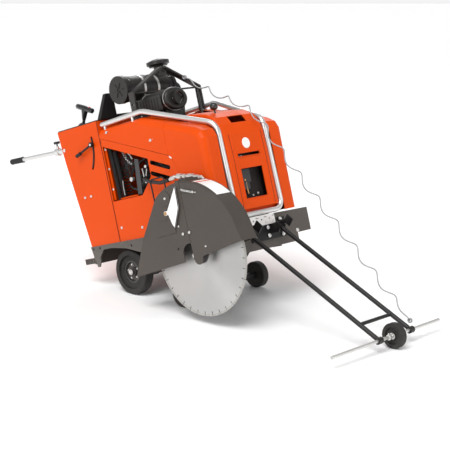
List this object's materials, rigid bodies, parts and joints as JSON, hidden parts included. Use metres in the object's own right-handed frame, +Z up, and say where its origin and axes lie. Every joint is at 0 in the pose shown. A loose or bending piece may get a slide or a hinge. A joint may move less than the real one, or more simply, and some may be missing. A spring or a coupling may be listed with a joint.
{
  "type": "masonry saw",
  "caption": "Walk-behind masonry floor saw with diesel engine, side-mounted diamond blade under a split guard, folding front guide, twin rear handles and lifting arch.",
  "frame": {"origin": "centre of the footprint box on the floor, saw standing nose-up on its wheels with the guide lowered", "axes": "+X forward in the direction of travel, +Y to the left side away from the blade, +Z up"},
  "size_m": [3.3194, 1.077, 1.5136],
  "materials": {
    "orange_paint": "gloss powder coat",
    "frame_grey": "satin powder coat",
    "guard_grey": "satin powder coat",
    "bright_plate": "zinc plated",
    "black_steel": "satin black paint",
    "black_plastic": "moulded, fine grain",
    "silver_tube": "satin silver",
    "zinc_steel": "zinc plated",
    "pulley_steel": "machined",
    "blade_steel": "ground",
    "engine_iron": "painted casting",
    "hydraulic_paint": "satin black",
    "radiator_black": "black finned",
    "hose_rubber": "matt",
    "tyre_rubber": "solid rubber",
    "hub_black": "satin black",
    "latch_white": "zinc and white",
    "stop_red": "gloss",
    "key_metal": "polished",
    "knob_black": "gloss",
    "cord_white": "coiled nylon line"
  },
  "bodies": {
    "chassis": {"main_frame": "frame_grey", "front_box": "frame_grey", "bumper_plate": "bright_plate", "console_shell": "orange_paint", "control_panel": "black_plastic", "hood_right": "orange_paint", "hood_left": "orange_paint", "side_panel_right": "orange_paint", "side_panel_left": "orange_paint", "centre_cowl": "orange_paint", "panel_fasteners": "zinc_steel", "hoop_tube": "silver_tube", "lifting_bail": "black_steel", "engine": "engine_iron", "radiator": "radiator_black", "drive_belt": "hose_rubber", "air_cleaner": "black_plastic", "intake_hose": "hose_rubber", "band_clamps": "zinc_steel", "muffler": "black_steel", "bearing_blocks": "engine_iron", "guard_rear": "guard_grey", "wire_handle": "black_steel", "water_manifold": "zinc_steel", "water_hose": "hose_rubber", "rear_drive": "hydraulic_paint", "lift_cylinder": "hydraulic_paint", "pointer_brackets": "black_steel", "curly_cord": "cord_white"},
    "drive_pulley_body": {"drive_pulley": "pulley_steel"},
    "fan_body": {"fan": "black_plastic"},
    "blade_body": {"blade_shaft": "zinc_steel", "blade_flanges": "zinc_steel", "blade": "blade_steel"},
    "guard_front_body": {"guard_front": "guard_grey", "guard_spring": "zinc_steel"},
    "guard_latch_body": {"guard_latch": "latch_white"},
    "lift_arm_body": {"lift_arm": "black_steel"},
    "lift_rod_body": {"lift_rod": "zinc_steel"},
    "front_wheel_right_body": {"front_wheel_right": "tyre_rubber"},
    "front_wheel_left_body": {"front_wheel_left": "tyre_rubber"},
    "rear_wheel_right_body": {"rear_hub_right": "hub_black", "rear_tyre_right": "tyre_rubber"},
    "rear_wheel_left_body": {"rear_hub_left": "hub_black", "rear_tyre_left": "tyre_rubber"},
    "pointer_body": {"pointer_frame": "black_steel", "pointer_rods": "zinc_steel"},
    "pointer_wheel_body": {"pointer_wheel": "tyre_rubber"},
    "handle_frame_body": {"handle_frame": "silver_tube"},
    "handle_right_body": {"handle_right": "silver_tube"},
    "handle_left_body": {"handle_left": "silver_tube"},
    "tknob_right_body": {"tknob_right": "black_plastic"},
    "tknob_left_body": {"tknob_left": "black_plastic"},
    "clamp_lever_body": {"clamp_lever": "black_plastic"},
    "joystick_body": {"joystick": "black_plastic"},
    "joystick_button_body": {"joystick_button": "stop_red"},
    "emergency_stop_body": {"emergency_stop": "stop_red"},
    "key_body": {"key_switch": "key_metal"},
    "throttle_body": {"throttle_lever": "black_plastic"},
    "ball_knob_body": {"ball_knob": "knob_black"}
  },
  "joints": [
    {"name": "blade_spin", "type": "hinge", "parent": "chassis", "child": "blade_body", "pos_m": [0.44955, -0.4005, 0.43328], "axis": [0, 1, 0], "continuous": true},
    {"name": "drive_pulley_spin", "type": "hinge", "parent": "chassis", "child": "drive_pulley_body", "pos_m": [0.16378, 0.2215, 0.64262], "axis": [0, 1, 0], "continuous": true},
    {"name": "fan_spin", "type": "hinge", "parent": "chassis", "child": "fan_body", "pos_m": [0.22534, 0.1015, 0.89955], "axis": [0.9613, 0, 0.2756], "continuous": true},
    {"name": "guard_front_hinge", "type": "hinge", "parent": "chassis", "child": "guard_front_body", "pos_m": [0.32701, -0.4035, 0.87877], "axis": [0, -1, 0], "range_deg": [0, 95]},
    {"name": "guard_latch_turn", "type": "hinge", "parent": "chassis", "child": "guard_latch_body", "pos_m": [0.23367, -0.4785, 0.66371], "axis": [0, -1, 0], "range_deg": [0, 25], "stiffness_Nm_per_rad": 2, "springref_deg": -11.46},
    {"name": "lift_arm_swing", "type": "hinge", "parent": "chassis", "child": "lift_arm_body", "pos_m": [0.3069, 0.1015, 0.36117], "axis": [0, 1, 0], "range_deg": [0, 38]},
    {"name": "lift_rod_slide", "type": "slide", "parent": "chassis", "child": "lift_rod_body", "axis": [0.9613, 0, 0.2756], "range_m": [-0.002, 0.0886]},
    {"name": "front_wheel_right_spin", "type": "hinge", "parent": "lift_arm_body", "child": "front_wheel_right_body", "pos_m": [0.10851, -0.2125, 0.088], "axis": [0, 1, 0], "continuous": true},
    {"name": "front_wheel_left_spin", "type": "hinge", "parent": "lift_arm_body", "child": "front_wheel_left_body", "pos_m": [0.10851, 0.4665, 0.088], "axis": [0, 1, 0], "continuous": true},
    {"name": "rear_wheel_right_spin", "type": "hinge", "parent": "chassis", "child": "rear_wheel_right_body", "pos_m": [-0.36047, -0.2165, 0.149], "axis": [0, 1, 0], "continuous": true},
    {"name": "rear_wheel_left_spin", "type": "hinge", "parent": "chassis", "child": "rear_wheel_left_body", "pos_m": [-0.36047, 0.4195, 0.149], "axis": [0, 1, 0], "continuous": true},
    {"name": "pointer_pivot", "type": "hinge", "parent": "chassis", "child": "pointer_body", "pos_m": [0.5728, 0.0315, 0.53313], "axis": [0, -1, 0], "range_deg": [0, 115], "deforming": ["curly_cord"]},
    {"name": "pointer_wheel_spin", "type": "hinge", "parent": "pointer_body", "child": "pointer_wheel_body", "pos_m": [1.5853, 0.0235, 0.075], "axis": [0, 1, 0], "continuous": true},
    {"name": "handle_tilt", "type": "hinge", "parent": "chassis", "child": "handle_frame_body", "pos_m": [-1.01103, 0.1015, 0.8904], "axis": [0, 1, 0], "range_deg": [-8, 20]},
    {"name": "handle_right_slide", "type": "slide", "parent": "handle_frame_body", "child": "handle_right_body", "axis": [0.972, 0, 0.2351], "range_m": [0, 0.28]},
    {"name": "handle_left_slide", "type": "slide", "parent": "handle_frame_body", "child": "handle_left_body", "axis": [0.972, 0, 0.2351], "range_m": [0, 0.28]},
    {"name": "tknob_right_turn", "type": "hinge", "parent": "handle_frame_body", "child": "tknob_right_body", "pos_m": [-1.12582, -0.2335, 0.91407], "axis": [-0.2351, 0, 0.972], "range_deg": [0, 270]},
    {"name": "tknob_left_turn", "type": "hinge", "parent": "handle_frame_body", "child": "tknob_left_body", "pos_m": [-1.12582, 0.4365, 0.91407], "axis": [-0.2351, 0, 0.972], "range_deg": [0, 270]},
    {"name": "clamp_lever_turn", "type": "hinge", "parent": "handle_frame_body", "child": "clamp_lever_body", "pos_m": [-0.70875, -0.2755, 0.96353], "axis": [0, 1, 0], "range_deg": [0, 70]},
    {"name": "joystick_tilt", "type": "hinge", "parent": "chassis", "child": "joystick_body", "pos_m": [-1.00619, -0.0985, 1.00414], "axis": [0, 1, 0], "range_deg": [-15, 15]},
    {"name": "joystick_button_press", "type": "slide", "parent": "joystick_body", "child": "joystick_button_body", "axis": [-0.1219, 0, -0.9925], "range_m": [0, 0.003], "stiffness_N_per_m": 400, "springref_m": -0.002},
    {"name": "emergency_stop_press", "type": "slide", "parent": "chassis", "child": "emergency_stop_body", "axis": [0.2756, 0, -0.9613], "range_m": [0, 0.006], "stiffness_N_per_m": 1500, "springref_m": -0.002},
    {"name": "key_turn", "type": "hinge", "parent": "chassis", "child": "key_body", "pos_m": [-0.83939, 0.0815, 1.09359], "axis": [-0.2756, 0, 0.9613], "range_deg": [0, 90]},
    {"name": "throttle_swing", "type": "hinge", "parent": "chassis", "child": "throttle_body", "pos_m": [-0.87642, 0.3425, 1.04135], "axis": [0, 1, 0], "range_deg": [-30, 30]},
    {"name": "ball_knob_pull", "type": "slide", "parent": "chassis", "child": "ball_knob_body", "axis": [-0.2756, 0, 0.9613], "range_m": [0, 0.03]}
  ],
  "couplings": [
    {"joint": "drive_pulley_spin", "follows": "blade_spin", "ratio": 0.85294},
    {"joint": "fan_spin", "follows": "blade_spin", "ratio": 1},
    {"joint": "lift_rod_slide", "follows": "lift_arm_swing", "m_per_rad": 0.12763}
  ]
}
